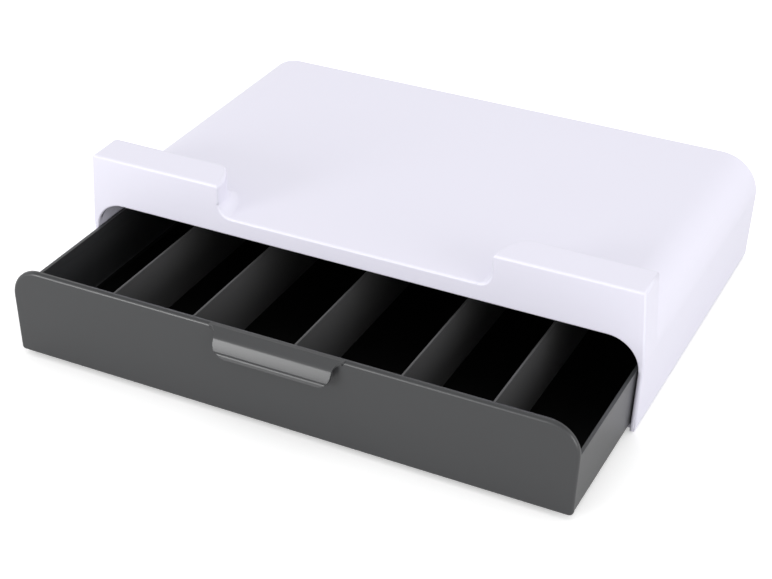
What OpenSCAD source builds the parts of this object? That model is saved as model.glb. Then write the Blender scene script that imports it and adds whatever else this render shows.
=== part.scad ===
// Tabletop condiment caddy: a pale moulded cover with a raised front edge over one
// wide drawer with removable dividers. X is across the front, Y goes back, Z is up.

/* [Cover] */
// Width of the cover at its widest line
cover_w = 307.2; // [270:0.2:350]
// Depth of the cover, front face to back face
cover_d = 190; // [165:1:230]
// Height of the deck above the table
deck_h = 61.4; // [56:0.2:72]
// Wall thickness of the cover
wall = 2.6; // [2:0.1:3.2]
// Radius of the long rounded edges beside the deck
corner_r = 21.5; // [16:0.5:25]
// How far each side draws in from the widest line down to the rim
rim_draft = 1.4; // [0:0.1:2.4]
// Rounding of the outer edge of the rim
rim_r = 1.6; // [0.8:0.1:1.8]
// Rounding of the back edges of the cover
back_r = 1.6; // [1:0.1:2.4]

/* [Front] */
// Height of the two raised ends above the deck
ear_rise = 17.2; // [11:0.2:24]
// Front-to-back depth of the raised ends
ear_d = 22.5; // [19:0.5:25]
// How far each side draws in from the widest line up to the top of a raised end
ear_draft = 2.4; // [0:0.1:3.5]
// Clear width between the raised ends at the front face
notch_w = 150.4; // [110:0.2:160]
// Radius of the hollow where a raised end meets the deck
blend_r = 7; // [4:0.5:8]
// Rounding of the outer rear edge of a raised end
ear_r = 5; // [3:0.5:7]
// Radius of the curved inner side of a raised end, seen from above
sweep_r = 34; // [34:1:60]
// Radius of the softer bend between that side and the rear of a raised end
knuckle_r = 16; // [12:1:20]
// How far that bend cuts into the corner
knuckle_cut = 0.7; // [0.4:0.1:1.2]
// Rounding of the top edges of a raised end
ear_top_r = 2; // [1.6:0.1:2.5]
// Rounding of the outer edges of the front face
front_r = 1.4; // [0.8:0.1:1.4]
// Thickness of the front
front_t = 3; // [2:0.1:4]
// Height of the front between the deck and the mouth
header_h = 9.8; // [8.5:0.1:12]
// Radius of the top corners of the mouth
mouth_r = 16.4; // [13:0.2:19]

/* [Drawer] */
// Gap between the drawer and the mouth at each side
side_gap = 0.5; // [0.4:0.1:1.2]
// Gap between the drawer front and the top of the mouth
top_gap = 0.6; // [0.4:0.1:1.2]
// Height of the drawer's side walls above its underside
side_h = 35.8; // [24:0.2:37]
// Thickness of the drawer front
panel_t = 2.6; // [2:0.1:3.6]
// How far the drawer front reaches below the drawer's underside
panel_drop = 0.8; // [0.4:0.1:1.2]
// Rounding of the outer edges of the drawer front
panel_r = 1.9; // [1:0.1:1.9]
// Thickness of the drawer's side and rear walls at the floor
tray_wall = 2.1; // [1.6:0.1:3]
// Thickness of the drawer's side walls at the rim
tray_rim_t = 1.4; // [1:0.1:1.6]
// Thickness of the drawer's floor
tray_floor = 2; // [1.4:0.1:3]
// Rounding of the drawer's lower edges
tray_edge_r = 2.2; // [2:0.1:3]
// Rounding inside, where walls meet the floor
tray_inner_r = 2; // [1:0.1:3]
// Rounding of the drawer's rear corners, seen from above
tray_rear_r = 4; // [2.5:0.5:8]
// How far the drawer stands out of the cover as drawn
drawn_out = 75; // [20:1:110]
// How far the drawer comes out before its stops
full_out = 116; // [112:1:130]

/* [Pull] */
// Width of the pull below its root
pull_w = 62.6; // [50:0.2:90]
// How far the pull reaches forward
pull_reach = 6.4; // [6.2:0.2:14]
// Height of the pull from its lower edge to the top of the drawer front
pull_h = 13.4; // [11:0.2:18]
// Slope of the pull's top in degrees
pull_slope = 33; // [20:1:45]
// Radius of the bend between the top and the front of the pull
pull_bend_r = 2; // [1.7:0.1:3]
// Thickness of the pull
pull_t = 1.6; // [1.2:0.1:1.6]
// Radius of the flare where the pull leaves the drawer front
pull_flare_r = 4.4; // [1.5:0.1:5]
// Rounding of the pull's lower corners
pull_corner_r = 5; // [2:0.2:5.6]

/* [Dividers] */
// Thickness of a divider at its foot
divider_t = 1.8; // [1.4:0.1:2.4]
// Thickness of a divider at its top edge
divider_top_t = 1.2; // [0.8:0.1:1.4]
// Gap round a divider in its slot
slot_gap = 0.15; // [0.1:0.05:0.3]
// Depth of the slots that hold a divider's ends
slot_d = 2; // [1.2:0.1:3]
// Thickness of the small ribs that form a slot
slot_rib_t = 1.2; // [0.8:0.1:1.8]
// How far the slot ribs end below the top of the dividers
slot_drop = 2.4; // [1:0.1:5]

/* [Base] */
// Thickness of the base plate
base_t = 2; // [1.6:0.1:2.6]
// Gap between the base plate and the cover
seat_gap = 0.15; // [0.1:0.05:0.3]
// Gap between the base plate's front edge and the shut drawer's front
base_setback = 0.6; // [0.4:0.1:2]
// Height of the glide ribs the drawer runs on
glide_h = 0.4; // [0.3:0.1:0.8]
// Width of a glide rib
glide_w = 8; // [4:0.5:14]
// Length of each snap tongue on the plate's sides
tongue_l = 20; // [12:1:28]
// How far a snap tongue reaches into the cover's wall
tongue_reach = 1.2; // [0.6:0.1:1.3]

/* [Stops] */
// Width of the two tabs on the drawer's rear wall
tail_w = 20; // [12:1:30]
// Gap between those tabs and the deck
tail_gap = 0.6; // [0.4:0.1:1.2]
// Thickness of the stop ribs under the deck
stop_t = 2.2; // [1.6:0.1:3]
// Gap between tabs and stop ribs at full draw
stop_gap = 0.4; // [0.3:0.1:0.8]
// Gap behind the drawer when it is shut
close_gap = 0.6; // [0.4:0.1:1.2]
// Thickness of the stiffening ribs under the deck
rib_t = 1.6; // [1.2:0.1:2.4]
// Height of the stiffening ribs under the deck
rib_h = 1.8; // [1:0.1:3]

/* [Screws and feet] */
// Radius of the two screw bosses
boss_r = 4; // [3.4:0.1:5]
// Radius of a screw's shank
screw_r = 1.4; // [1.2:0.1:1.6]
// Length of a screw below its head
screw_l = 12; // [8:0.5:16]
// Radius of a screw's head
screw_head_r = 2.6; // [2.2:0.1:2.8]
// Height of a screw's head
screw_head_h = 1.1; // [0.8:0.1:1.2]
// Radius of a foot pad
foot_r = 7; // [5:0.5:10]
// How far a foot pad stands below the cover's rim
foot_proud = 1; // [0.6:0.1:2]
// How deep a foot pad sits in the base plate
foot_sunk = 0.8; // [0.4:0.1:1]
// Distance from a foot pad's centre to the nearest edges of the plate
foot_inset = 22; // [14:1:34]

/* [Hidden] */
$fn = 48;

// Overrun of every cut
cut = 1;
// How deep joined solids reach into each other
bite = 0.5;
// Gap round screws in their holes
screw_gap = 0.1;
// How far the ends of a hollow sink into the faces that it joins
toe = 0.05;
// How far a rounded edge stands proud of a true quarter circle where it meets its faces
edge_toe = 0.02;
// How far neighbouring cuts along an edge reach past each other
lap = 0.2;

// Places across the half width: dividers, rear tabs, deck ribs, glide ribs
divider_shares = [-0.695, -0.382, 0, 0.382, 0.695];
tail_share = 0.4;
rib_shares = [-0.76, 0, 0.76];
glide_shares = [-0.74, -0.25, 0.25, 0.74];
// Places along the depth of the snap tongues
tongue_shares = [0.16, 0.5, 0.84];

// Heights, all measured from the table
base_z = foot_proud;
floor_z = base_z + base_t;
drawer_z = floor_z + glide_h;
ceiling_z = deck_h - wall;
belt_z = deck_h - corner_r;
ear_z = deck_h + ear_rise;
mouth_z = deck_h - header_h;
panel_z = mouth_z - top_gap;
wall_z = drawer_z + side_h;
tray_floor_z = drawer_z + tray_floor;
tail_z = ceiling_z - tail_gap;
stop_z = mouth_z + top_gap;
skirt_z = drawer_z - panel_drop;

// Depths, measured from the front face
boss_y = cover_d - wall - boss_r + bite;
tray_l = boss_y - boss_r - close_gap;
tray_in_l = tray_l - tray_wall;
stop_y = tray_in_l - full_out - stop_gap;
plate_y = panel_t + base_setback;
plate_l = cover_d - wall - seat_gap - plate_y;
// The part's origin lies under the middle of its outline as drawn
mid_y = (cover_d - drawn_out - pull_reach) / 2;

// Half widths
half_w = cover_w / 2;
tray_inset = wall + side_gap;
plate_half = half_side(base_z) - wall - seat_gap;
tray_in_half = half_side(tray_floor_z) - tray_inset - tray_wall;
tray_rim_half = half_side(wall_z) - tray_inset - tray_rim_t;
tail_x = tail_share * half_w;
boss_x = half_side(base_z) - wall - boss_r - tray_rear_r / 2;

// Half width of the cover's outside at height z, below and above its widest line
function half_side(z) = half_w - rim_draft * (belt_z - min(z, belt_z)) / (belt_z - base_z);
function half_ear(z) = half_w - ear_draft * (z - belt_z) / (ear_z - belt_z);

// Points flipped to the other side, in the order that closes the outline
function flipped(points) = [for (i = [len(points) - 1:-1:0]) [-points[i].x, points[i].y]];

// Quarter of a disc round x, z, which starts at the angle turn
module quarter(x, z, r, turn = 0) {
    translate([x, z]) rotate(turn) intersection() {
        circle(r);
        square(r);
    }
}

// Outline from floor to top, its sides parallel to the cover's, inset by that much
module bell(inset, low, top, top_r, low_r = 0) {
    x = half_side(top - top_r) - inset;
    x0 = half_side(low + low_r) - inset;
    side = [[x0 - low_r, low], [x0 - low_r, low + low_r], [x0, low + low_r],
        [x, top - top_r], [x - top_r, top - top_r], [x - top_r, top]];
    polygon(concat(side, flipped(side)));
    both_flat() quarter(x - top_r, top - top_r, top_r);
    if (low_r > 0) both_flat() quarter(x0 - low_r, low + low_r, low_r, -90);
}

// Section of a cut that rounds a front edge: out from the outline, forward from the face
module edge_section(r) {
    difference() {
        translate([-r, -r]) square(r + cut);
        translate([edge_toe - r, edge_toe - r]) circle(r);
    }
}

// Cut along a straight edge of the front face, which starts at x, z and leads that way
module edge_line(x, z, way, length, r) {
    translate([x, 0, z]) rotate([0, -way, 0]) along_x(-lap, length + lap)
        rotate(90) edge_section(r);
}

// The same between two points given as x, z, with the solid on the right of the way
module edge_between(a, b, r) {
    edge_line(a.x, a.y, atan2(b.y - a.y, b.x - a.x), norm(b - a), r);
}

// Cut along a round corner of the front face, from the angle turn on by a quarter
module edge_round(x, z, corner, turn, r) {
    translate([x, 0, z]) rotate([90, 0, 0]) rotate([0, 0, turn]) rotate_extrude(angle = 90)
        translate([corner, 0]) edge_section(r);
}

// The same for a hollow corner, with the solid outside its radius
module edge_hollow(x, z, corner, turn, r) {
    translate([x, 0, z]) rotate([90, 0, 0]) rotate([0, 0, turn]) rotate_extrude(angle = 90)
        translate([corner, 0]) mirror([1, 0]) edge_section(r);
}

// Section of the hollow at the foot of a raised end: out from its wall, up from the deck
module hollow_section() {
    deep = blend_r + bite;
    difference() {
        translate([-bite, -bite]) square([deep, deep]);
        translate([blend_r - toe, blend_r - toe]) circle(blend_r);
        translate([blend_r - toe, -deep]) square(2 * deep);
    }
}

module along_y(from, to) {
    translate([0, to, 0]) rotate([90, 0, 0]) linear_extrude(to - from) children();
}

module along_x(from, to) {
    translate([from, 0, 0]) rotate([90, 0, 90]) linear_extrude(to - from) children();
}

module upward(from, to) {
    translate([0, 0, from]) linear_extrude(to - from) children();
}

module both_sides() {
    children();
    mirror([1, 0, 0]) children();
}

module both_flat() {
    children();
    mirror([1, 0]) children();
}

// Puts a fixed piece, and a piece of the drawer, where they stand in the part
module fixed() {
    translate([0, -mid_y, 0]) children();
}

module drawn() {
    translate([0, -mid_y - drawn_out, 0]) children();
}

// Outline seen from above: square at the front, round at the rear corners
module plan(half, from, to, r) {
    side = [[half, from], [half, to - r], [half - r, to - r], [half - r, to]];
    polygon(concat(side, flipped(side)));
    both_flat() quarter(half - r, to - r, r);
}

// Side view of a block whose top rear edge is round
module back_profile(front, top, rear, r) {
    polygon([[front, 0], [rear, 0], [rear, top - r], [rear - r, top - r], [rear - r, top],
        [front, top]]);
    if (r > 0) quarter(rear - r, top - r, r);
}

// Cover

module shell_body() {
    along_y(0, cover_d) bell(0, base_z, deck_h, corner_r, rim_r);
}

// Slope of the outer side of a raised end
ear_tilt = atan(ear_draft / (ear_z - belt_z));
sweep_x = notch_w / 2 + sweep_r;
// Corner between the inner side and the rear of a raised end, and the way out from it
corner_turn = asin(ear_d / sweep_r);
corner_x = sweep_x - sweep_r * cos(corner_turn);
corner_way = [-sin((90 - corner_turn) / 2), cos((90 - corner_turn) / 2)];
knuckle = [corner_x, ear_d] - (knuckle_r + knuckle_cut) * corner_way;

// Half section of a post, its top edge round, a hollow at its foot
module post_section(r, low, high, edge, foot) {
    polygon([[0, low], [r, low], [r, high - edge], [r - edge, high - edge], [r - edge, high],
        [0, high]]);
    if (edge > 0) quarter(r - edge, high - edge, edge);
    if (foot) translate([r, deck_h]) hollow_section();
}

// Quarter of a post round x, y, with a block that goes on from it to the right
module post_block(x, y, r, low, high, edge, foot) {
    translate([x, y, 0]) rotate([0, 0, 90]) rotate_extrude(angle = 90)
        post_section(r, low, high, edge, foot);
    upward(low, high) translate([x, 0]) square([2 * half_w, 2 * ear_d]);
}

// Side view of the rear of a raised end, its top edge round
module rear_section(rear, low, high, edge, foot) {
    polygon([[0, low], [rear, low], [rear, high - edge], [rear - edge, high - edge],
        [rear - edge, high], [0, high]]);
    if (edge > 0) quarter(rear - edge, high - edge, edge);
    if (foot) translate([rear, deck_h]) hollow_section();
}

// Raised end with the hollow that carries it down into the deck, still square outside
module ear_inside() {
    intersection() {
        post_block(sweep_x, 0, sweep_r, belt_z, ear_z, ear_top_r, true);
        union() {
            post_block(knuckle.x, knuckle.y, knuckle_r, belt_z, ear_z, ear_top_r, true);
            upward(belt_z, ear_z) square([2 * half_w, knuckle.y]);
        }
        along_x(0, half_w - corner_r) rear_section(ear_d, belt_z, ear_z, ear_top_r, true);
    }
}

// Outer end of it, which follows the deck's rounded edge
module ear_outside() {
    flat_x = half_w - corner_r;
    high = ear_z - ear_top_r;
    outer = half_ear(high);
    intersection() {
        along_x(flat_x, half_w) rear_section(ear_d, belt_z, ear_z, ear_top_r, false);
        along_y(0, ear_d) {
            polygon([[0, belt_z], [half_w, belt_z], [outer, high], [outer - ear_top_r, high],
                [outer - ear_top_r, ear_z], [0, ear_z]]);
            quarter(outer - ear_top_r, high, ear_top_r);
        }
        translate([half_w, 0, belt_z]) rotate([0, -ear_tilt, 0]) upward(-half_w, 2 * ear_z) {
            translate([-half_w, 0]) square([half_w + cut, ear_d - ear_r]);
            translate([-half_w, 0]) square([half_w - ear_r, ear_d]);
            quarter(-ear_r, ear_d - ear_r, ear_r);
        }
    }
    intersection() {
        translate([flat_x, ear_d, belt_z]) rotate([90, 0, 0])
            rotate_extrude(angle = 90) translate([corner_r, 0]) rotate(-90) hollow_section();
        upward(belt_z, ear_z) translate([flat_x, 0])
            square([corner_r - ear_r, ear_d + blend_r + cut]);
    }
}

// Room inside a raised end, open downwards
module ear_room() {
    flat_x = half_w - corner_r;
    top = ear_z - wall;
    intersection() {
        post_block(sweep_x, 0, sweep_r - wall, belt_z, top, 0, false);
        along_x(0, half_w) rear_section(ear_d - wall, belt_z, top, 0, false);
        along_y(front_t, ear_d) polygon([[0, ceiling_z - cut], [flat_x, ceiling_z - cut],
            [flat_x, belt_z], [half_w - wall, belt_z], [half_ear(top) - wall, top], [0, top]]);
    }
}

// Cuts that round the outer edges of the front face, right half
module front_edges() {
    high = ear_z - ear_top_r;
    end_x = notch_w / 2;
    hollow = blend_r - toe;
    edge_between([0, deck_h], [end_x - hollow, deck_h], front_r);
    edge_hollow(end_x - hollow, deck_h + hollow, blend_r, -90, front_r);
    edge_between([end_x, deck_h + hollow], [end_x, high], front_r);
    edge_round(end_x + ear_top_r, high, ear_top_r, 90, front_r);
    edge_between([end_x + ear_top_r, ear_z], [half_w, ear_z], front_r);
    edge_between([half_ear(ear_z + cut), ear_z + cut], [half_w, belt_z], front_r);
    edge_between([half_w, belt_z], [half_side(base_z), base_z], front_r);
}

// Cuts that round the back edges of the shell, right half
module back_edges() {
    translate([0, cover_d, 0]) mirror([0, 1, 0]) {
        edge_between([0, deck_h], [half_w - corner_r, deck_h], back_r);
        edge_round(half_w - corner_r, belt_z, corner_r, 0, back_r);
        edge_between([half_w, belt_z], [half_side(base_z), base_z], back_r);
    }
}

module mouth_cut() {
    along_y(-cut, front_t + cut) bell(wall, base_z - mouth_r, mouth_z, mouth_r);
}

module shell_cut() {
    along_y(front_t, cover_d - wall) bell(wall, base_z - corner_r, ceiling_z, corner_r - wall);
}

// Pocket in the side wall for one snap tongue of the base plate
module tongue_pocket(y) {
    translate([plate_half - cut, y - tongue_l / 2 - seat_gap, base_z])
        cube([cut + tongue_reach + 2 * seat_gap, tongue_l + 2 * seat_gap, base_t]);
}

// Tall round post in each rear corner that takes a screw, cut off inside the shell
module boss() {
    half = wall / 2;
    intersection() {
        translate([boss_x, boss_y, floor_z]) cylinder(r = boss_r, h = ceiling_z - floor_z + bite);
        along_y(front_t, cover_d - half) bell(half, base_z, deck_h - half, corner_r - half, rim_r);
    }
}

module boss_bore() {
    translate([boss_x, boss_y, floor_z - cut])
        cylinder(r = screw_r + screw_gap, h = screw_l + cut + screw_gap);
}

module stop_rib() {
    brace = ceiling_z - stop_z;
    translate([tail_x - tail_w / 2, stop_y - stop_t, stop_z])
        cube([tail_w, stop_t, brace + bite]);
    for (x = [tail_x - tail_w / 2, tail_x + tail_w / 2 - rib_t])
        along_x(x, x + rib_t) polygon([[stop_y - stop_t + bite, stop_z],
            [stop_y - stop_t + bite, ceiling_z + bite],
            [stop_y - stop_t - brace, ceiling_z + bite]]);
}

module deck_rib(share) {
    translate([share * half_w - rib_t / 2, front_t - bite, ceiling_z - rib_h])
        cube([rib_t, cover_d - wall - front_t + 2 * bite, rib_h + bite]);
}

module cover() {
    color("#ebe9f6") fixed() difference() {
        union() {
            difference() {
                union() {
                    shell_body();
                    both_sides() ear_inside();
                    both_sides() ear_outside();
                }
                shell_cut();
                mouth_cut();
                both_sides() ear_room();
                both_sides() front_edges();
                both_sides() back_edges();
            }
            both_sides() boss();
            both_sides() stop_rib();
            for (share = rib_shares) deck_rib(share);
        }
        both_sides() boss_bore();
        both_sides() for (share = tongue_shares) tongue_pocket(plate_y + share * plate_l);
    }
}

// Base

module foot_at(side, rear) {
    x = plate_half - foot_inset;
    y = rear ? plate_y + plate_l - foot_inset : plate_y + foot_inset;
    translate([side * x, y, 0]) children();
}

module base_plate() {
    color("#dddbe8") fixed() difference() {
        union() {
            translate([-plate_half, plate_y, base_z]) cube([2 * plate_half, plate_l, base_t]);
            for (share = glide_shares) glide(share);
            both_sides() for (share = tongue_shares) tongue(plate_y + share * plate_l);
        }
        for (side = [-1, 1], rear = [false, true]) foot_at(side, rear)
            translate([0, 0, base_z - cut]) cylinder(r = foot_r + seat_gap, h = cut + foot_sunk);
        both_sides() translate([boss_x, boss_y, base_z - cut]) {
            cylinder(r = screw_r + 2 * screw_gap, h = base_t + 2 * cut);
            cylinder(r = screw_head_r + 2 * screw_gap, h = cut + screw_head_h);
        }
    }
}

module glide(share) {
    translate([share * half_w - glide_w / 2, plate_y + foot_inset / 2, floor_z - bite])
        cube([glide_w, tray_l - foot_inset, bite + glide_h]);
}

module tongue(y) {
    translate([plate_half - bite, y - tongue_l / 2, base_z + seat_gap])
        cube([bite + tongue_reach, tongue_l, base_t - 2 * seat_gap]);
}

module base_screw() {
    recess = screw_r / 2;
    translate([boss_x, boss_y, base_z]) difference() {
        union() {
            cylinder(r = screw_head_r, h = screw_head_h);
            cylinder(r = screw_r, h = base_t + screw_l);
        }
        for (turn = [0, 90]) rotate([0, 0, turn])
            translate([-screw_r, -recess / 2, -cut]) cube([2 * screw_r, recess, cut + recess]);
    }
}

module base_screws() {
    color("silver") fixed() both_sides() base_screw();
}

module foot(side, rear) {
    rise = foot_proud + foot_sunk;
    edge = foot_proud / 2;
    color("#c9c8cf") fixed() foot_at(side, rear) rotate_extrude() {
        polygon([[0, 0], [foot_r - edge, 0], [foot_r - edge, edge], [foot_r, edge],
            [foot_r, rise], [0, rise]]);
        quarter(foot_r - edge, edge, edge, -90);
    }
}

// Drawer

module panel_body() {
    high = panel_z - mouth_r + side_gap;
    low = skirt_z + tray_edge_r;
    high_x = half_side(high) - tray_inset;
    low_x = half_side(low) - tray_inset;
    top_x = high_x - mouth_r + side_gap;
    foot_x = low_x - tray_edge_r;
    difference() {
        along_y(0, panel_t) bell(tray_inset, skirt_z, panel_z, mouth_r - side_gap, tray_edge_r);
        both_sides() {
            edge_between([0, panel_z], [top_x, panel_z], panel_r);
            edge_round(top_x, high, mouth_r - side_gap, 0, panel_r);
            edge_between([high_x, high], [low_x, low], panel_r);
            edge_round(foot_x, low, tray_edge_r, -90, panel_r);
            edge_between([foot_x, skirt_z], [0, skirt_z], panel_r);
        }
    }
}

// Outline of the room in the drawer, from the floor to above the rim
module tray_hollow_outline() {
    spread = (tray_rim_half - tray_in_half) / (wall_z - tray_floor_z);
    foot = [tray_in_half - tray_inner_r, tray_floor_z];
    side = [foot, foot + [0, tray_inner_r], foot + [tray_inner_r, tray_inner_r],
        [tray_rim_half + spread * cut, wall_z + cut]];
    polygon(concat(side, flipped(side)));
    both_flat() quarter(foot.x, foot.y + tray_inner_r, tray_inner_r, -90);
}

module tray_shell() {
    difference() {
        intersection() {
            along_y(panel_t - bite, tray_l)
                bell(tray_inset, drawer_z, panel_z, mouth_r - side_gap, tray_edge_r);
            upward(drawer_z - cut, wall_z)
                plan(half_side(wall_z) - tray_inset, 0, tray_l, tray_rear_r);
        }
        intersection() {
            along_y(panel_t, tray_in_l) tray_hollow_outline();
            upward(tray_floor_z - cut, wall_z + 2 * cut)
                plan(tray_in_half + rim_draft, 0, tray_in_l, tray_rear_r - tray_wall / 2);
        }
    }
}

// Two ribs each at the front and at the rear that hold one divider upright
module slot_ribs(share) {
    gap = divider_t / 2 + slot_gap;
    top = wall_z - slot_drop;
    for (y = [panel_t - bite, tray_in_l - slot_d], side = [-1, 1])
        translate([share * tray_in_half + (side < 0 ? -gap - slot_rib_t : gap), y,
            tray_floor_z - bite])
            cube([slot_rib_t, slot_d + bite, top - tray_floor_z + bite]);
}

// Tab on the rear wall that meets the stop rib and keeps the drawer from tipping
module tail() {
    translate([tail_x - tail_w / 2, tray_in_l, wall_z - bite])
        cube([tail_w, tray_wall, tail_z - wall_z + bite]);
    for (x = [tail_x - tail_w / 2, tail_x + tail_w / 2 - rib_t])
        along_x(x, x + rib_t) polygon([[tray_l - bite, drawer_z + side_h / 2],
            [tray_l + tray_wall, wall_z], [tray_l - bite, tail_z - tray_wall]]);
}

// Side view of the pull, inset by that much: a sloping top, a round bend, a straight front
module pull_side(inset) {
    low = panel_z - pull_h;
    r = pull_bend_r - inset;
    bend_y = pull_bend_r - pull_reach;
    bend_z = panel_z - (pull_bend_r - bend_y * sin(pull_slope)) / cos(pull_slope);
    slope = [-sin(pull_slope), cos(pull_slope)];
    touch = [bend_y, bend_z] + r * slope;
    root = panel_z - inset / cos(pull_slope);
    polygon([[bite, root - (inset > 0 ? cut : 0)], [bite, root], [0, root], touch,
        [bend_y, bend_z], [bend_y - r, bend_z], [bend_y - r, low - (inset > 0 ? cut : 0)],
        [bite, low - (inset > 0 ? cut : 0)]]);
    intersection() {
        translate([bend_y, bend_z]) circle(r);
        polygon([[bend_y, bend_z], [bend_y, bend_z] + 2 * r * slope,
            [bend_y - 2 * r, bend_z + 2 * r * cos(pull_slope)], [bend_y - 2 * r, bend_z]]);
    }
}

module pull() {
    half = pull_w / 2;
    root = half + pull_flare_r;
    low = panel_z - pull_h;
    intersection() {
        difference() {
            along_x(-root, root) pull_side(0);
            along_x(-root - cut, root + cut) pull_side(pull_t);
        }
        upward(low - cut, panel_z + cut) difference() {
            translate([-root, -pull_reach - cut]) square([2 * root, pull_reach + cut + bite]);
            both_flat() {
                translate([root, -pull_flare_r]) circle(pull_flare_r);
                translate([half, -pull_reach - 2 * cut])
                    square([root, pull_reach + 2 * cut - pull_flare_r]);
            }
        }
        along_y(-pull_reach - cut, bite) {
            translate([-root, low + pull_corner_r]) square([2 * root, pull_h]);
            translate([pull_corner_r - half, low]) square([pull_w - 2 * pull_corner_r, pull_h]);
            both_flat() quarter(half - pull_corner_r, low + pull_corner_r, pull_corner_r, -90);
        }
    }
}

module drawer_tray() {
    color("#55575a") drawn() {
        panel_body();
        tray_shell();
        pull();
        both_sides() tail();
        for (share = divider_shares) slot_ribs(share);
    }
}

module divider(index) {
    foot = divider_t / 2;
    top = divider_top_t / 2;
    color("#3c3d40") drawn() translate([divider_shares[index] * tray_in_half, 0, 0])
        along_y(panel_t + slot_gap, tray_in_l - slot_gap) {
            polygon([[-foot, tray_floor_z], [foot, tray_floor_z], [top, wall_z - top],
                [-top, wall_z - top]]);
            both_flat() quarter(0, wall_z - top, top);
        }
}

cover();
base_plate();
base_screws();
foot(-1, false);  // foot_front_left
foot(1, false);  // foot_front_right
foot(-1, true);  // foot_rear_left
foot(1, true);  // foot_rear_right
drawer_tray();
divider(0);  // divider_1
divider(1);  // divider_2
divider(2);  // divider_3
divider(3);  // divider_4
divider(4);  // divider_5
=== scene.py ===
"""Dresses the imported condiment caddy: moulded plastics, rubber, steel, a studio and the camera"""
import math

import bmesh
import bpy
from mathutils import Matrix, Vector


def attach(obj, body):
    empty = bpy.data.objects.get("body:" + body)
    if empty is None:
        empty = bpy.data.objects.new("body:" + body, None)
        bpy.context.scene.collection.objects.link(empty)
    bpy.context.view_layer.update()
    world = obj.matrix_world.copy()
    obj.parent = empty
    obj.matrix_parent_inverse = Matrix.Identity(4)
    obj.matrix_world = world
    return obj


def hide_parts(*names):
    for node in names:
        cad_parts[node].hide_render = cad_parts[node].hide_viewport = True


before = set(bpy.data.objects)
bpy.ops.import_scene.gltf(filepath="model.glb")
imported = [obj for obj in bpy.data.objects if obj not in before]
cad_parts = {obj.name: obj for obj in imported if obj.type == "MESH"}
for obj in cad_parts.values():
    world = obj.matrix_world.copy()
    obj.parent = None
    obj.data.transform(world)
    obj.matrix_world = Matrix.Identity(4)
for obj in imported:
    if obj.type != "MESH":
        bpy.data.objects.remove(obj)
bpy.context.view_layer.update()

bl_info = {
    "name": "Condiment caddy dressing",
    "version": (1, 0, 0),
    "blender": (4, 5, 0),
    "location": "View3D > Sidebar > Caddy",
    "description": "Finishes a drawer caddy: smooth moulded shells, grained plastics and a studio",
    "category": "Object",
}

MM = 0.001
# Faces that meet at less than this turn shade as one
SMOOTH_UNDER = math.radians(32)
# Edges that turn by more than this are the sharp ones that a rounding takes
SHARP_OVER = math.radians(50)
# Points closer than this are one, and faces that turn by less than this are one flat face
SAME_POINT = 0.002 * MM
FLAT_UNDER = math.radians(0.4)
# Rounding of the base plate's edges
BASE_EDGE = 0.2 * MM
# Height of the fine grain on the smooth plastics, the base plate and the rubber
SMOOTH_GRAIN = 0.02 * MM
BASE_GRAIN = 0.05 * MM
RUBBER_GRAIN = 0.08 * MM
# Half the width of the studio's floor in metres
STUDIO_FLOOR = 6
# Place, size in metres and power in watts of each lamp
LAMPS = {
    "top_lamp": ((0.0, 0.3, 2.2), 1.5, 5.0),
    "low_left_lamp": ((-1.0, -1.8, 0.35), 0.85, 20.5),
    "low_right_lamp": ((2.0, -0.7, 0.4), 1.2, 17.0),
}
# The mouth's front edges lie this near the front plane, below this share of the cover's
# height, and this far in from its sides
MOUTH_PLANE = 0.1 * MM
MOUTH_SHARE = 0.68
MOUTH_INSET = 1.5 * MM
# The upper side of the drawer's floor begins this far inside the drawer's box, lies below this
# share of its height, and faces up by more than this
# These floor faces get the near-black painted shade instead of the drawer's grey
FLOOR_INSET = Vector((1.2, 8.5, 2)) * MM
FLOOR_SHARE = 0.2
FLOOR_FACES_UP = 0.7
# What the cut that takes the plain pull off leaves in front of the drawer's face
SLIVER = 0.01 * MM
# How far a cutting block stands past what it cuts
PAST = 1 * MM
# Upright thickness of the pull's slope, in walls
SLOPE_WALLS = 1.5
# Heights of the groove's two inner edges, as shares of the groove's height
GROOVE_SHARES = (0.7, 0.2)


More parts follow.
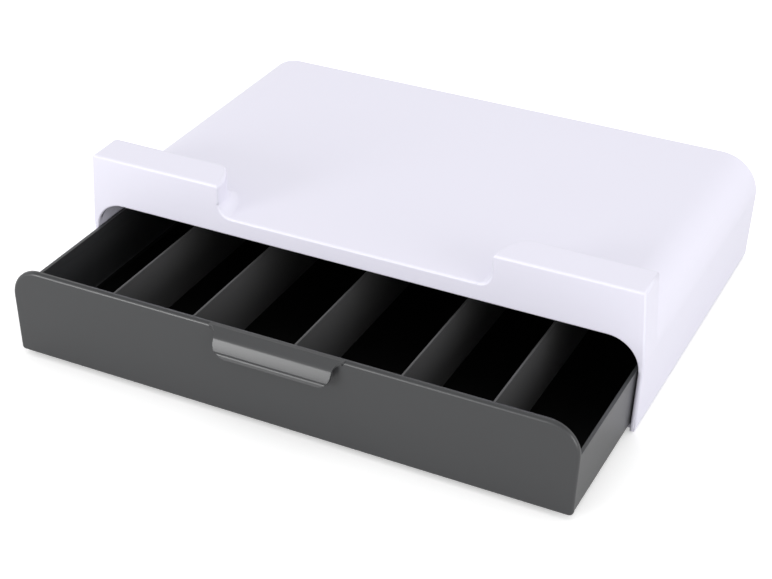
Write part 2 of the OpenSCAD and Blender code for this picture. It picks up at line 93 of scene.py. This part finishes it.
class CaddyLook(bpy.types.PropertyGroup):
    """Colours and finishes of the moulded pieces"""

    cover_colour: bpy.props.FloatVectorProperty(
        name="Cover colour", description="Pale lavender white of the cover", subtype="COLOR",
        size=3, min=0, max=1, default=(0.80, 0.786, 0.892))
    base_colour: bpy.props.FloatVectorProperty(
        name="Base colour", description="Colour of the base plate", subtype="COLOR",
        size=3, min=0, max=1, default=(0.74, 0.725, 0.81))
    drawer_colour: bpy.props.FloatVectorProperty(
        name="Drawer colour", description="Dark grey of the drawer", subtype="COLOR",
        size=3, min=0, max=1, default=(0.043, 0.044, 0.046))
    # Partly painted light: this grey is set lighter than the drawer's to stand for the light
    # falling on the dividers' faces
    divider_lit_colour: bpy.props.FloatVectorProperty(
        name="Divider colour", description="Dark grey of the dividers", subtype="COLOR",
        size=3, min=0, max=1, default=(0.080, 0.080, 0.081))
    # Painted shade: the floor is the tray's own plastic, painted near black for the shade that lies
    # in the compartments
    floor_shade_colour: bpy.props.FloatVectorProperty(
        name="Drawer floor colour", description="Black of the drawer's floor", subtype="COLOR",
        size=3, min=0, max=1, default=(0.0015, 0.0015, 0.0015))
    foot_colour: bpy.props.FloatVectorProperty(
        name="Foot colour", description="Pale grey rubber of the foot pads", subtype="COLOR",
        size=3, min=0, max=1, default=(0.52, 0.52, 0.55))
    mouth_edge: bpy.props.FloatProperty(
        name="Mouth edge", description="Rounding of the mouth's front edge", subtype="DISTANCE",
        unit="LENGTH", min=0.0002, max=0.002, default=0.0012)
    rim_drop: bpy.props.FloatProperty(
        name="Rim drop", description="How far the drawer's side walls end below the dividers' tops",
        subtype="DISTANCE", unit="LENGTH", min=0.0, max=0.006, default=0.003)
    rim_step_in: bpy.props.FloatProperty(
        name="Rim step in", description="How far in from its sides the drawer's rim is lowered",
        subtype="DISTANCE", unit="LENGTH", min=0.004, max=0.02, default=0.009)
    panel_top: bpy.props.FloatProperty(
        name="Panel top", description="Height of the drawer front's top edge", subtype="DISTANCE",
        unit="LENGTH", min=0.03, max=0.08, default=0.051)
    pull_reach: bpy.props.FloatProperty(
        name="Pull reach", description="How far the pull stands out of the drawer front",
        subtype="DISTANCE", unit="LENGTH", min=0.004, max=0.012, default=0.0064)
    pull_height: bpy.props.FloatProperty(
        name="Pull height", description="From the pull's lower edge to the top of the drawer front",
        subtype="DISTANCE", unit="LENGTH", min=0.01, max=0.02, default=0.0136)
    pull_width: bpy.props.FloatProperty(
        name="Pull width", description="Width of the pull below its root", subtype="DISTANCE",
        unit="LENGTH", min=0.04, max=0.09, default=0.0626)
    pull_wall: bpy.props.FloatProperty(
        name="Pull wall", description="Thickness of the pull", subtype="DISTANCE",
        unit="LENGTH", min=0.001, max=0.002, default=0.0014)
    pull_flare: bpy.props.FloatProperty(
        name="Pull flare", description="Radius of the pull's flare at its root", subtype="DISTANCE",
        unit="LENGTH", min=0.001, max=0.006, default=0.0044)
    pull_corner: bpy.props.FloatProperty(
        name="Pull corner", description="Rounding of the pull's lower corners", subtype="DISTANCE",
        unit="LENGTH", min=0.001, max=0.009, default=0.0075)
    pull_root: bpy.props.FloatProperty(
        name="Pull root", description="How far the pull reaches into the drawer front",
        subtype="DISTANCE", unit="LENGTH", min=0.0004, max=0.0025, default=0.0019)
    pull_edge: bpy.props.FloatProperty(
        name="Pull edge", description="Rounding of the pull's outer edges", subtype="DISTANCE",
        unit="LENGTH", min=0.0001, max=0.0006, default=0.0003)
    bulge_radius: bpy.props.FloatProperty(
        name="Bulge radius", description="Radius of the pull's bulging front", subtype="DISTANCE",
        unit="LENGTH", min=0.02, max=0.06, default=0.048)
    bulge_tilt: bpy.props.FloatProperty(
        name="Bulge tilt", description="How far the lower end of the bulge faces up",
        subtype="ANGLE", unit="ROTATION", default=math.radians(17))
    bulge_turn: bpy.props.FloatProperty(
        name="Bulge turn", description="Turn of the bulge between its ends", subtype="ANGLE",
        unit="ROTATION", default=math.radians(8))
    lip_height: bpy.props.FloatProperty(
        name="Lip height", description="Height of the lip below the pull's groove",
        subtype="DISTANCE", unit="LENGTH", min=0.001, max=0.004, default=0.0019)
    lip_lean: bpy.props.FloatProperty(
        name="Lip lean", description="How far the lip's top lies behind its foot",
        subtype="DISTANCE", unit="LENGTH", min=0.0, max=0.001, default=0.0005)
    groove_depth: bpy.props.FloatProperty(
        name="Groove depth", description="Depth of the groove above the pull's lip",
        subtype="DISTANCE", unit="LENGTH", min=0.0001, max=0.001, default=0.0007)
    groove_height: bpy.props.FloatProperty(
        name="Groove height", description="Height of the groove above the pull's lip",
        subtype="DISTANCE", unit="LENGTH", min=0.0005, max=0.002, default=0.0011)
    panel_depth: bpy.props.FloatProperty(
        name="Panel depth", description="From the pull's front to the back of the drawer's front",
        subtype="DISTANCE", unit="LENGTH", min=0.005, max=0.02, default=0.0091)
    grain_size: bpy.props.FloatProperty(
        name="Grain size", description="Size of the fine moulding grain", subtype="DISTANCE",
        unit="LENGTH", min=0.0001, max=0.003, default=0.0006)


class CaddyStudio(bpy.types.PropertyGroup):
    """Camera and light of the studio"""

    focal_length: bpy.props.FloatProperty(
        name="Focal length", description="Lens of the camera in millimetres", min=20, max=200,
        default=78.555)
    azimuth: bpy.props.FloatProperty(
        name="Azimuth", description="Turn of the camera to the right of the front", subtype="ANGLE",
        unit="ROTATION", default=math.radians(26.011))
    elevation: bpy.props.FloatProperty(
        name="Elevation", description="Tilt of the camera above level", subtype="ANGLE",
        unit="ROTATION", default=math.radians(31.502))
    roll: bpy.props.FloatProperty(
        name="Roll", description="Turn of the camera round its own axis", subtype="ANGLE",
        unit="ROTATION", default=math.radians(0.573))
    place: bpy.props.FloatVectorProperty(
        name="Camera place", description="Where the camera stands", subtype="TRANSLATION",
        unit="LENGTH", size=3, default=(0.33005, -0.68981, 0.47767))
    sky_level: bpy.props.FloatProperty(
        name="Sky level", description="Strength of the even light from all round", min=0, max=2,
        default=0.83)


def clear_tree(tree):
    """Takes every node out of the tree"""
    for node in list(tree.nodes):
        tree.nodes.remove(node)


def add(tree, kind, x, y, **values):
    """A node at a place in the tree, with some of its attributes or sockets set"""
    node = tree.nodes.new(kind)
    node.location = (x, y)
    for key, value in values.items():
        if key in node.inputs:
            node.inputs[key].default_value = value
        else:
            setattr(node, key, value)
    return node


def moulded_surface():
    """Group: fine moulding grain, slow drift of tone and gloss, and faint handling marks"""
    name = "Moulded surface"
    if name in bpy.data.node_groups:
        return bpy.data.node_groups[name]
    tree = bpy.data.node_groups.new(name, "ShaderNodeTree")
    for label, kind, default in (
        ("Colour", "NodeSocketColor", (0.5, 0.5, 0.5, 1)), ("Grain scale", "NodeSocketFloat", 1500),
        ("Tone drift", "NodeSocketFloat", 0.02), ("Gloss", "NodeSocketFloat", 0.4),
        ("Gloss drift", "NodeSocketFloat", 0.05), ("Marks", "NodeSocketFloat", 0.02),
    ):
        tree.interface.new_socket(label, in_out="INPUT", socket_type=kind).default_value = default
    for label, kind in (("Colour", "NodeSocketColor"), ("Roughness", "NodeSocketFloat"),
                        ("Height", "NodeSocketFloat")):
        tree.interface.new_socket(label, in_out="OUTPUT", socket_type=kind)
    link = tree.links.new
    given = add(tree, "NodeGroupInput", -900, 0)
    out = add(tree, "NodeGroupOutput", 700, 0)
    where = add(tree, "ShaderNodeTexCoord", -900, -300)
    drift = add(tree, "ShaderNodeTexNoise", -650, 200, Scale=14.0, Detail=3.0, Roughness=0.5)
    grain = add(tree, "ShaderNodeTexNoise", -650, -350, Detail=2.0, Roughness=0.6)
    stretch = add(tree, "ShaderNodeMapping", -800, -650)
    stretch.inputs["Rotation"].default_value = (0.3, 0.2, 0.5)
    stretch.inputs["Scale"].default_value = (60, 900, 400)
    marks = add(tree, "ShaderNodeTexNoise", -650, -650, Scale=1.0, Detail=4.0, Roughness=0.65)
    link(where.outputs["Object"], drift.inputs["Vector"])
    link(where.outputs["Object"], grain.inputs["Vector"])
    link(where.outputs["Object"], stretch.inputs["Vector"])
    link(stretch.outputs["Vector"], marks.inputs["Vector"])
    link(given.outputs["Grain scale"], grain.inputs["Scale"])
    centred = add(tree, "ShaderNodeMath", -430, 200, operation="SUBTRACT")
    centred.inputs[1].default_value = 0.5
    link(drift.outputs["Fac"], centred.inputs[0])
    tone = add(tree, "ShaderNodeMath", -250, 250, operation="MULTIPLY_ADD")
    tone.inputs[2].default_value = 1.0
    link(centred.outputs[0], tone.inputs[0])
    link(given.outputs["Tone drift"], tone.inputs[1])
    shade = add(tree, "ShaderNodeHueSaturation", 0, 250)
    link(given.outputs["Colour"], shade.inputs["Color"])
    link(tone.outputs[0], shade.inputs["Value"])
    gloss = add(tree, "ShaderNodeMath", -250, 50, operation="MULTIPLY_ADD")
    link(centred.outputs[0], gloss.inputs[0])
    link(given.outputs["Gloss drift"], gloss.inputs[1])
    link(given.outputs["Gloss"], gloss.inputs[2])
    worn = add(tree, "ShaderNodeMapRange", -430, -650)
    worn.inputs["From Min"].default_value = 0.62
    worn.inputs["From Max"].default_value = 0.8
    link(marks.outputs["Fac"], worn.inputs["Value"])
    marked = add(tree, "ShaderNodeMath", 200, 0, operation="MULTIPLY_ADD")
    link(worn.outputs["Result"], marked.inputs[0])
    link(given.outputs["Marks"], marked.inputs[1])
    link(gloss.outputs[0], marked.inputs[2])
    link(shade.outputs["Color"], out.inputs["Colour"])
    link(marked.outputs[0], out.inputs["Roughness"])
    link(grain.outputs["Fac"], out.inputs["Height"])
    return tree


def plastic(name, colour, gloss, grain_height, marks=0.04, specular=0.5):
    """Moulded plastic: the group's colour, roughness and grain on a Principled shader"""
    look = bpy.context.scene.caddy_look
    material = bpy.data.materials.new(name)
    material.use_nodes = True
    tree = material.node_tree
    clear_tree(tree)
    surface = add(tree, "ShaderNodeGroup", -500, 0)
    surface.node_tree = moulded_surface()
    surface.inputs["Colour"].default_value = (*colour, 1)
    surface.inputs["Grain scale"].default_value = 1 / look.grain_size
    surface.inputs["Tone drift"].default_value = 0.015
    surface.inputs["Gloss"].default_value = gloss
    surface.inputs["Gloss drift"].default_value = 0.06
    surface.inputs["Marks"].default_value = marks
    bump = add(tree, "ShaderNodeBump", -250, -250, Strength=0.35, Distance=grain_height)
    shader = add(tree, "ShaderNodeBsdfPrincipled", 0, 0)
    shader.inputs["IOR"].default_value = 1.5
    shader.inputs["Specular IOR Level"].default_value = specular
    out = add(tree, "ShaderNodeOutputMaterial", 300, 0)
    link = tree.links.new
    link(surface.outputs["Colour"], shader.inputs["Base Color"])
    link(surface.outputs["Roughness"], shader.inputs["Roughness"])
    link(surface.outputs["Height"], bump.inputs["Height"])
    link(bump.outputs["Normal"], shader.inputs["Normal"])
    link(shader.outputs["BSDF"], out.inputs["Surface"])
    return material


def plated_steel(name):
    """Zinc-plated steel with fine turning lines"""
    material = bpy.data.materials.new(name)
    material.use_nodes = True
    tree = material.node_tree
    clear_tree(tree)
    where = add(tree, "ShaderNodeTexCoord", -900, 0)
    turned = add(tree, "ShaderNodeTexNoise", -650, 0, Scale=2500.0, Detail=2.0)
    ramp = add(tree, "ShaderNodeMapRange", -430, 0)
    ramp.inputs["To Min"].default_value = 0.22
    ramp.inputs["To Max"].default_value = 0.42
    tint = add(tree, "ShaderNodeValToRGB", -430, 250)
    tint.color_ramp.elements[0].color = (0.52, 0.53, 0.55, 1)
    tint.color_ramp.elements[1].color = (0.68, 0.68, 0.69, 1)
    shader = add(tree, "ShaderNodeBsdfPrincipled", 0, 0, Metallic=1.0)
    out = add(tree, "ShaderNodeOutputMaterial", 300, 0)
    link = tree.links.new
    link(where.outputs["Object"], turned.inputs["Vector"])
    link(turned.outputs["Fac"], ramp.inputs["Value"])
    link(turned.outputs["Fac"], tint.inputs["Fac"])
    link(tint.outputs["Color"], shader.inputs["Base Color"])
    link(ramp.outputs["Result"], shader.inputs["Roughness"])
    link(shader.outputs["BSDF"], out.inputs["Surface"])
    return material


def clean_copy(cad_node):
    """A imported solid's mesh without its doubled points and with whole flat faces"""
    form = bmesh.new()
    form.from_mesh(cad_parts[cad_node].data)
    bmesh.ops.remove_doubles(form, verts=form.verts, dist=SAME_POINT)
    bmesh.ops.dissolve_limit(
        form, angle_limit=FLAT_UNDER, verts=form.verts, edges=form.edges, delimit={"NORMAL"})
    return form


def round_edges(form, radius, picked=None, segments=2):
    """Rounds the sharp edges, or those of them that picked chooses by their middle"""
    sharp = [e for e in form.edges if e.is_manifold and e.calc_face_angle(0) > SHARP_OVER
             and (not picked or picked((e.verts[0].co + e.verts[1].co) / 2))]
    bmesh.ops.bevel(
        form, geom=sharp, offset=radius, offset_type="OFFSET", segments=segments, profile=0.5,
        affect="EDGES", clamp_overlap=True, material=-1)


def moulding(name, cad_node, body, materials, form=None, pick=None):
    """A smooth piece which stands for a solid, made from the form or from the solid's clean copy

    Where there are several materials, pick chooses a face's by its centre and normal.
    """
    form = form or clean_copy(cad_node)
    for face in form.faces:
        face.material_index = pick(face.calc_center_median(), face.normal) if pick else 0
    mesh = bpy.data.meshes.new(name)
    form.to_mesh(mesh)
    form.free()
    mesh.polygons.foreach_set("use_smooth", [True] * len(mesh.polygons))
    mesh.set_sharp_from_angle(angle=SMOOTH_UNDER)
    for material in materials:
        mesh.materials.append(material)
    piece = bpy.data.objects.new(name, mesh)
    bpy.context.scene.collection.objects.link(piece)
    weigh = piece.modifiers.new("Flat faces stay flat", "WEIGHTED_NORMAL")
    weigh.keep_sharp = True
    weigh.weight = 100
    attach(piece, body)
    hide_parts(cad_node)
    return piece


def combined(form, other, operation):
    """The form after a boolean with the other form; both are used up"""
    things = []
    for part in (form, other):
        mesh = bpy.data.meshes.new("part")
        part.to_mesh(mesh)
        part.free()
        things.append(bpy.data.objects.new("part", mesh))
        bpy.context.scene.collection.objects.link(things[-1])
    step = things[0].modifiers.new("Step", "BOOLEAN")
    step.operation = operation
    step.solver = "EXACT"
    step.object = things[1]
    bpy.context.view_layer.update()
    form = bmesh.new()
    form.from_mesh(things[0].evaluated_get(bpy.context.evaluated_depsgraph_get()).to_mesh())
    for thing in things:
        mesh = thing.data
        bpy.data.objects.remove(thing)
        bpy.data.meshes.remove(mesh)
    return form


def block(low, high):
    """A box between two corners"""
    form = bmesh.new()
    place = Matrix.Translation((low + high) / 2) @ Matrix.Diagonal((*(high - low), 1))
    bmesh.ops.create_cube(form, size=1, matrix=place)
    return form


def lofted(rings):
    """A closed form that runs from the first ring of points to the last"""
    form = bmesh.new()
    loops = []
    for ring in rings:
        points = [form.verts.new(point) for point in ring]
        loops.append([form.edges.new(pair) for pair in zip(points, points[1:] + points[:1])])
    for loop, following in zip(loops, loops[1:]):
        bmesh.ops.bridge_loops(form, edges=loop + following)
    for loop in (loops[0], loops[-1]):
        bmesh.ops.contextual_create(form, geom=loop)
    bmesh.ops.recalc_face_normals(form, faces=form.faces)
    return form


def turns(start, end, steps):
    """Even turns from one angle to another"""
    return [start + (end - start) * n / steps for n in range(steps + 1)]


def quarter(steps):
    """Sine and 1 - cosine at even turns of a quarter circle"""
    return [(math.sin(turn), 1 - math.cos(turn)) for turn in turns(0, math.pi / 2, steps)]


def box_of(cad_node):
    """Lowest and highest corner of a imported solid"""
    corners = [Vector(v.co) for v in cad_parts[cad_node].data.vertices]
    return (Vector([min(c[k] for c in corners) for k in range(3)]),
            Vector([max(c[k] for c in corners) for k in range(3)]))


class CADDY_OT_studio(bpy.types.Operator):
    """Floor, sky, lamps and the camera"""

    bl_idname = "caddy.studio"
    bl_label = "Studio and camera"

    def execute(self, context):
        studio = context.scene.caddy_studio
        form = bmesh.new()
        bmesh.ops.create_grid(form, x_segments=4, y_segments=4, size=STUDIO_FLOOR)
        mesh = bpy.data.meshes.new("studio_floor")
        form.to_mesh(mesh)
        form.free()
        floor = bpy.data.objects.new("studio_floor", mesh)
        context.scene.collection.objects.link(floor)
        mesh.materials.append(self.floor_paint())
        self.sky(context.scene, studio.sky_level)
        for name, (place, size, power) in LAMPS.items():
            self.lamp(context.scene, name, place, size, power)
        self.camera(context.scene, studio)
        return {"FINISHED"}

    @staticmethod
    def seen_rays(tree, x, y):
        """1 for rays that come from the camera or a reflection, else 0"""
        path = add(tree, "ShaderNodeLightPath", x, y)
        either = add(tree, "ShaderNodeMath", x + 200, y, operation="MAXIMUM")
        tree.links.new(path.outputs["Is Camera Ray"], either.inputs[0])
        tree.links.new(path.outputs["Is Glossy Ray"], either.inputs[1])
        return either.outputs[0]

    def floor_paint(self):
        """White paint that keeps the shadow: lifted for the camera, duller for bounced light"""
        material = bpy.data.materials.new("studio_floor_paint")
        material.use_nodes = True
        tree = material.node_tree
        clear_tree(tree)
        paint = add(tree, "ShaderNodeBsdfDiffuse", -400, 0)
        paint.inputs["Color"].default_value = (0.9, 0.9, 0.9, 1)
        dull = add(tree, "ShaderNodeBsdfDiffuse", -400, 150)
        dull.inputs["Color"].default_value = (0.64, 0.64, 0.64, 1)
        glow = add(tree, "ShaderNodeEmission", -400, -200, Strength=0.35)
        path = add(tree, "ShaderNodeLightPath", -600, 400)
        lifted = add(tree, "ShaderNodeAddShader", -200, -100)
        bounced = add(tree, "ShaderNodeMixShader", -50, 150)
        seen = add(tree, "ShaderNodeMixShader", 100, 0)
        out = add(tree, "ShaderNodeOutputMaterial", 300, 0)
        link = tree.links.new
        link(paint.outputs[0], lifted.inputs[0])
        link(glow.outputs[0], lifted.inputs[1])
        link(path.outputs["Is Diffuse Ray"], bounced.inputs["Fac"])
        link(paint.outputs[0], bounced.inputs[1])
        link(dull.outputs[0], bounced.inputs[2])
        link(path.outputs["Is Camera Ray"], seen.inputs["Fac"])
        link(bounced.outputs[0], seen.inputs[1])
        link(lifted.outputs[0], seen.inputs[2])
        link(seen.outputs[0], out.inputs["Surface"])
        return material

    def sky(self, scene, level):
        """Even white light, seen as plain white at the sides and as a darker ceiling overhead"""
        world = bpy.data.worlds.new("studio_sky")
        world.use_nodes = True
        scene.world = world
        tree = world.node_tree
        clear_tree(tree)
        light = add(tree, "ShaderNodeBackground", -200, 0, Strength=level)
        light.inputs["Color"].default_value = (1, 1, 1, 1)
        white = add(tree, "ShaderNodeBackground", -200, -200, Strength=1.0)
        white.inputs["Color"].default_value = (1, 1, 1, 1)
        where = add(tree, "ShaderNodeTexCoord", -900, -300)
        axes = add(tree, "ShaderNodeSeparateXYZ", -700, -300)
        ceiling = add(tree, "ShaderNodeMapRange", -450, -300)
        ceiling.inputs["From Min"].default_value = 0.5
        ceiling.inputs["From Max"].default_value = 0.85
        ceiling.inputs["To Min"].default_value = 1.0
        ceiling.inputs["To Max"].default_value = 0.3
        seen = add(tree, "ShaderNodeMixShader", 100, 0)
        out = add(tree, "ShaderNodeOutputWorld", 300, 0)
        link = tree.links.new
        link(where.outputs["Generated"], axes.inputs["Vector"])
        link(axes.outputs["Z"], ceiling.inputs["Value"])
        link(ceiling.outputs["Result"], white.inputs["Strength"])
        link(self.seen_rays(tree, -600, 200), seen.inputs["Fac"])
        link(light.outputs[0], seen.inputs[1])
        link(white.outputs[0], seen.inputs[2])
        link(seen.outputs[0], out.inputs["Surface"])

    @staticmethod
    def lamp(scene, name, place, size, power):
        """A square soft lamp that points at the caddy"""
        data = bpy.data.lights.new(name, "AREA")
        data.size = size
        data.energy = power
        lamp = bpy.data.objects.new(name, data)
        scene.collection.objects.link(lamp)
        lamp.location = place
        lamp.rotation_euler = Vector(place).to_track_quat("Z", "Y").to_euler()

    @staticmethod
    def camera(scene, studio):
        """The camera at the photograph's place and angle"""
        data = bpy.data.cameras.new("camera")
        data.lens = studio.focal_length
        data.sensor_width = 36
        data.clip_start = 0.01
        a, e = studio.azimuth, studio.elevation
        back = Vector((math.sin(a) * math.cos(e), -math.cos(a) * math.cos(e), math.sin(e)))
        right = Vector((0, 0, 1)).cross(back).normalized()
        up = back.cross(right)
        turn = Matrix.Rotation(studio.roll, 3, back)
        right, up = turn @ right, turn @ up
        camera = bpy.data.objects.new("camera", data)
        scene.collection.objects.link(camera)
        axes = Matrix((right, up, back)).transposed().to_4x4()
        camera.matrix_world = Matrix.Translation(Vector(studio.place)) @ axes
        scene.camera = camera
        scene.view_settings.view_transform = "Standard"


class CADDY_OT_cover(bpy.types.Operator):
    """The pale moulded cover with its raised front ends"""

    bl_idname = "caddy.cover"
    bl_label = "Cover"

    def execute(self, context):
        look = context.scene.caddy_look
        paint = plastic("cover_plastic", look.cover_colour, 0.42, SMOOTH_GRAIN)
        low, high = box_of("cover")
        form = clean_copy("cover")
        round_edges(form, look.mouth_edge, lambda at: self.on_mouth(at, low, high), 4)
        moulding("cover_shell", "cover", "housing", [paint], form)
        return {"FINISHED"}

    @staticmethod
    def on_mouth(at, low, high):
        """True for the front edges of the mouth, which lie on the front plane inside the outline"""
        return (at.y < low.y + MOUTH_PLANE and abs(at.x) < high.x - MOUTH_INSET
                and at.z < low.z + MOUTH_SHARE * (high.z - low.z))


class CADDY_OT_base(bpy.types.Operator):
    """The base plate with its screws and foot pads"""

    bl_idname = "caddy.base"
    bl_label = "Base, screws and feet"

    def execute(self, context):
        look = context.scene.caddy_look
        plate = plastic("base_plastic", look.base_colour, 0.55, BASE_GRAIN)
        form = clean_copy("base_plate")
        round_edges(form, BASE_EDGE)
        moulding("base_floor", "base_plate", "housing", [plate], form)
        steel = plated_steel("screw_steel")
        moulding("base_screw_pair", "base_screws", "housing", [steel])
        rubber = plastic("foot_rubber", look.foot_colour, 0.75, RUBBER_GRAIN, marks=0.0)
        for place in ("front_left", "front_right", "rear_left", "rear_right"):
            moulding("foot_pad_" + place, "foot_" + place, "housing", [rubber])
        return {"FINISHED"}


class CADDY_OT_drawer(bpy.types.Operator):
    """The dark drawer with its bent pull"""

    bl_idname = "caddy.drawer"
    bl_label = "Drawer"

    def execute(self, context):
        look = context.scene.caddy_look
        paint = plastic("drawer_plastic", look.drawer_colour, 0.32, SMOOTH_GRAIN)
        # A near-black copy of the drawer plastic for the floor's upper side: painted shade, not a
        # different plastic
        floor_shade = plastic("drawer_floor_painted_shade", look.floor_shade_colour, 0.5, SMOOTH_GRAIN, specular=0.15)
        low, high = box_of("drawer_tray")
        form = clean_copy("drawer_tray")
        for side in (-1, 1):
            form = combined(form, self.room_over_rim(look, side, low, high), "DIFFERENCE")
        face = low.y + look.pull_reach
        plain_pull = block(Vector((-look.pull_width, low.y - PAST, low.z - PAST)),
                           Vector((look.pull_width, face - SLIVER, high.z + PAST)))
        form = combined(form, plain_pull, "DIFFERENCE")
        form = combined(form, self.pull(look, face, look.panel_top), "UNION")
        moulding("drawer_shell", "drawer_tray", "drawer", [paint, floor_shade], form,
                 lambda at, way: self.is_floor(at, way, low, high))
        return {"FINISHED"}

    @staticmethod
    def room_over_rim(look, side, low, high):
        """The block that lowers the rim on one side, -1 for the left and 1 for the right"""
        ends = sorted((side * (high.x - look.rim_step_in), side * (high.x + PAST)))
        rim = box_of("divider_1")[1].z - look.rim_drop
        return block(Vector((ends[0], low.y + look.panel_depth, rim)),
                     Vector((ends[1], high.y + PAST, high.z + PAST)))

    @staticmethod
    def pull_rows(look, face, top):
        """The pull's outer point, inner point and half width, row by row from root to foot"""
        wall, half = look.pull_wall, look.pull_width / 2
        foot, fore = top - look.pull_height, face - look.pull_reach
        lip = foot + look.lip_height
        groove = lip + look.groove_height
        tilt, bulge = look.bulge_tilt, look.bulge_radius
        centre = Vector((fore + bulge * math.cos(tilt), groove - bulge * math.sin(tilt)))
        front = [centre + bulge * Vector((-math.cos(turn), math.sin(turn)))
                 for turn in turns(tilt + look.bulge_turn, tilt, 10)]
        middle = tilt + look.bulge_turn / 2
        inward = wall * Vector((math.cos(middle), -math.sin(middle)))

        start, start_in = Vector((face, top)), Vector((face, top - SLOPE_WALLS * wall))
        crease, crease_in = front[0], front[0] + inward
        root = Vector((look.pull_root, 0))
        rows = [(start + root, start_in + root, half + look.pull_flare)]
        rows += [(start.lerp(crease, run), start_in.lerp(crease_in, run),
                  half + look.pull_flare * (1 - rise)) for rise, run in quarter(8)]
        rows += [(at, at + inward, half) for at in front[1:]]

        edge = [(look.groove_depth, lip + share * look.groove_height) for share in GROOVE_SHARES]
        edge += [(look.lip_lean * (1 - rise), lip - look.lip_height * rise)
                 for rise, run in quarter(6)]
        edge[-1] = (look.pull_edge, foot)
        squeeze = (groove + inward.y - foot) / (groove - foot)
        rows += [(Vector((fore + y, z)), Vector((fore + wall, foot + (z - foot) * squeeze)), half)
                 for y, z in edge]
        return rows

    def pull(self, look, face, top):
        """The pull: a bent strip with a slope, a bulging front, a groove, a lip and flared ends"""
        corner, edge = look.pull_corner, look.pull_edge
        rings = []
        for outer, inner, half in self.pull_rows(look, face, top):
            below = max(0, top - look.pull_height + corner - outer.y)
            half -= corner - math.sqrt(corner ** 2 - below ** 2)
            inward = (inner - outer).normalized()
            side = [(half - edge * (1 - rise), outer + inward * edge * run)
                    for rise, run in quarter(3)] + [(half, inner)]
            side += [(-x, at) for x, at in reversed(side)]
            rings.append([(x, at.x, at.y) for x, at in side])
        return lofted(rings)

    @staticmethod
    def is_floor(at, way, low, high):
        """True for the upper side of the drawer's floor, whose faces get the painted shade"""
        inside = (abs(at.x) < high.x - FLOOR_INSET.x and at.y > low.y + FLOOR_INSET.y
                  and low.z + FLOOR_INSET.z < at.z < low.z + FLOOR_SHARE * (high.z - low.z))
        return inside and way.z > FLOOR_FACES_UP


class CADDY_OT_dividers(bpy.types.Operator):
    """The thin plates that part the drawer"""

    bl_idname = "caddy.dividers"
    bl_label = "Dividers"

    def execute(self, context):
        look = context.scene.caddy_look
        # The dividers' lighter grey is partly painted light on their faces
        paint = plastic("divider_plastic", look.divider_lit_colour, 0.36, SMOOTH_GRAIN)
        for n in range(1, 6):
            moulding(f"divider_plate_{n}", f"divider_{n}", "drawer", [paint])
        return {"FINISHED"}


class CADDY_PT_panel(bpy.types.Panel):
    """Buttons and values of the caddy"""

    bl_idname = "CADDY_PT_panel"
    bl_label = "Condiment caddy"
    bl_space_type = "VIEW_3D"
    bl_region_type = "UI"
    bl_category = "Caddy"

    def draw(self, context):
        for group in (context.scene.caddy_look, context.scene.caddy_studio):
            box = self.layout.box()
            for key in group.bl_rna.properties.keys():
                if key not in {"rna_type", "name"}:
                    box.prop(group, key)
        for step in STEPS:
            self.layout.operator(step.bl_idname)


STEPS = (CADDY_OT_studio, CADDY_OT_cover, CADDY_OT_base, CADDY_OT_drawer, CADDY_OT_dividers)
CLASSES = (CaddyLook, CaddyStudio, *STEPS, CADDY_PT_panel)


def register():
    for item in CLASSES:
        bpy.utils.register_class(item)
    bpy.types.Scene.caddy_look = bpy.props.PointerProperty(type=CaddyLook)
    bpy.types.Scene.caddy_studio = bpy.props.PointerProperty(type=CaddyStudio)


def unregister():
    del bpy.types.Scene.caddy_studio
    del bpy.types.Scene.caddy_look
    for item in reversed(CLASSES):
        bpy.utils.unregister_class(item)


def main():
    register()
    for step in STEPS:
        group, call = step.bl_idname.split(".")
        getattr(getattr(bpy.ops, group), call)()
    bpy.context.view_layer.update()


if __name__ == "__main__":
    main()
